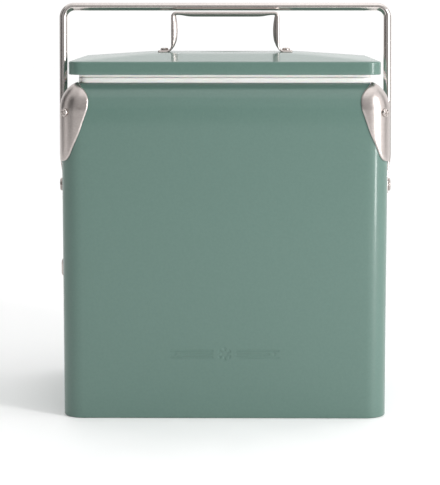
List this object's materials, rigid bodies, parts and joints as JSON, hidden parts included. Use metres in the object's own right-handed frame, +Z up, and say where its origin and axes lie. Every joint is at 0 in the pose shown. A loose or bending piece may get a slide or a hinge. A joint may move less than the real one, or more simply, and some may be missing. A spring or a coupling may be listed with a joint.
{
  "type": "picnic cooler chest",
  "caption": "Painted steel picnic cooler with a white plastic tub, a lift-off lid with a strap pull, corner brackets and a swinging bail handle.",
  "frame": {"origin": "centre of the chest's footprint, on the surface it stands on", "axes": "+Z up, the front with the pressed mark faces -Y, +X is to the right seen from the front"},
  "size_m": [0.335, 0.2386, 0.3955],
  "materials": {
    "sage_paint": "satin",
    "white_plastic": "satin",
    "stainless": "satin",
    "stainless_rod": "satin",
    "screw_steel": "polished",
    "zinc_steel": "matte",
    "foam": "matte",
    "gasket_rubber": "matte",
    "nylon": "satin"
  },
  "bodies": {
    "chest": {"outer_shell": "sage_paint", "base_pan": "zinc_steel", "body_foam": "foam", "inner_liner": "white_plastic", "side_bracket_right": "stainless", "side_bracket_left": "stainless", "bracket_screws": "screw_steel", "bracket_nuts": "zinc_steel", "pivot_studs": "screw_steel", "pivot_washers": "nylon", "pivot_spacers": "zinc_steel", "pivot_backing_plates": "zinc_steel", "bottle_opener": "stainless", "opener_screws": "screw_steel", "opener_nuts": "zinc_steel"},
    "lid": {"lid_shell": "sage_paint", "lid_liner": "white_plastic", "lid_foam": "foam", "lid_gasket": "gasket_rubber", "lid_pull": "stainless", "lid_pull_screws": "screw_steel", "lid_pull_nuts": "zinc_steel"},
    "bail": {"bail_handle": "stainless_rod", "bail_bushes": "nylon"}
  },
  "joints": [
    {"name": "bail_swing", "type": "hinge", "parent": "chest", "child": "bail", "pos_m": [0, 0, 0.213], "axis": [1, 0, 0], "range_deg": [-132, 142]},
    {"name": "lid_lift", "type": "slide", "parent": "chest", "child": "lid", "axis": [0, 0, 1], "range_m": [0, 0.038]}
  ]
}
